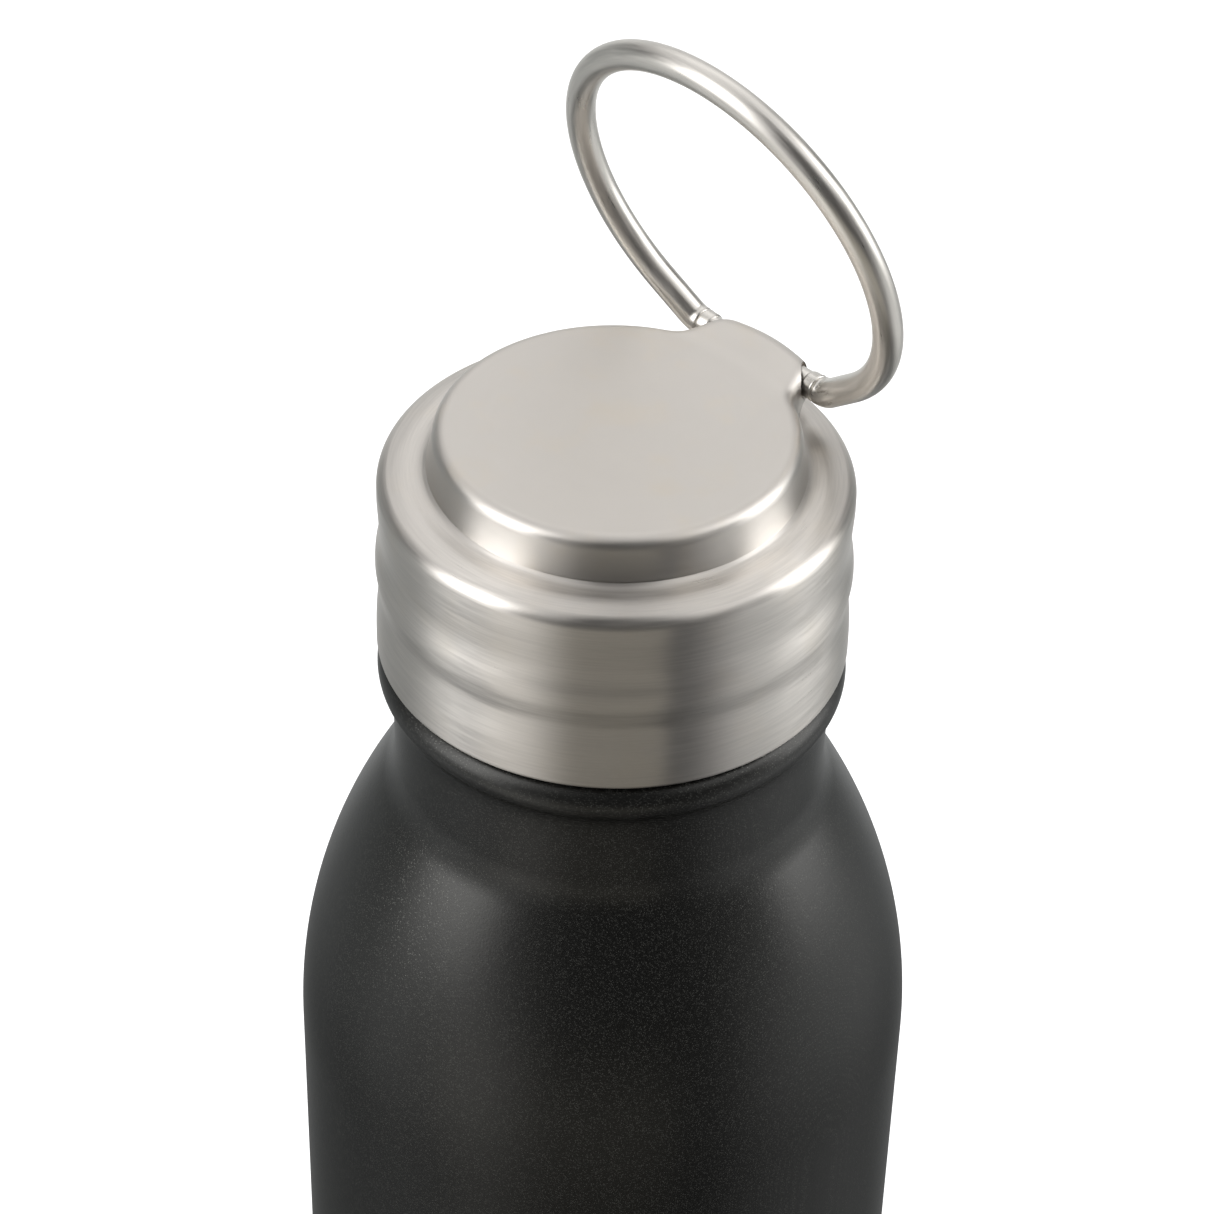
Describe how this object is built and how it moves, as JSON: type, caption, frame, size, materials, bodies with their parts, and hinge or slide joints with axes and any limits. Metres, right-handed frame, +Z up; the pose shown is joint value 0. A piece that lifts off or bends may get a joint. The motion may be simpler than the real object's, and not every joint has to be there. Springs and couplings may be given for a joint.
{
  "type": "insulated water bottle",
  "caption": "Double-walled steel drinks bottle with a dark powder-coated body, a stepped steel screw cap and a folding wire carry loop",
  "frame": {"origin": "centre of the base pad's flat underside", "axes": "+Z runs up the bottle's axis of revolution; +Y points from that axis to the cap's lug; +X runs along the carry loop's pivot pin"},
  "size_m": [0.073, 0.073, 0.2912],
  "materials": {
    "powder_coat": "fine-grained matt near-black powder coat over stainless steel",
    "flask_steel": "drawn stainless steel, satin",
    "seal_glass": "fused solder-glass bead",
    "foil": "bright foil",
    "getter": "dull sintered metal",
    "pad_rubber": "matt black silicone",
    "cap_steel": "turned stainless steel with fine circumferential lines",
    "liner_plastic": "moulded black polypropylene",
    "foam": "closed-cell foam",
    "seal_rubber": "translucent white silicone",
    "wire_steel": "satin stainless wire"
  },
  "bodies": {
    "bottle": {"outer_shell": "powder_coat", "inner_flask_wall": "flask_steel", "inner_flask_base": "flask_steel", "outer_base": "flask_steel", "vacuum_seal": "seal_glass", "radiation_shield": "foil", "getter_cup": "flask_steel", "getter_pill": "getter", "bottom_cover": "flask_steel", "base_pad": "pad_rubber"},
    "seal": {"cap_seal_ring": "seal_rubber"},
    "cap": {"cap_shell": "cap_steel", "cap_crown": "cap_steel", "cap_liner": "liner_plastic", "cap_foam": "foam", "cap_plug_disc": "cap_steel"},
    "loop": {"handle_loop": "wire_steel", "pivot_pin": "wire_steel"}
  },
  "joints": [
    {"name": "cap_rise", "type": "slide", "parent": "bottle", "child": "seal", "axis": [0, 0, 1], "range_m": [0, 0.024]},
    {"name": "cap_turn", "type": "hinge", "parent": "seal", "child": "cap", "pos_m": [0, 0, 0.221], "axis": [0, 0, 1], "range_deg": [0, 1080]},
    {"name": "loop_pivot", "type": "hinge", "parent": "cap", "child": "loop", "pos_m": [0, 0.0225, 0.2484], "axis": [1, 0, 0], "range_deg": [-182, 68]}
  ],
  "couplings": [
    {"joint": "cap_rise", "follows": "cap_turn", "m_per_rad": 0.0012732}
  ]
}
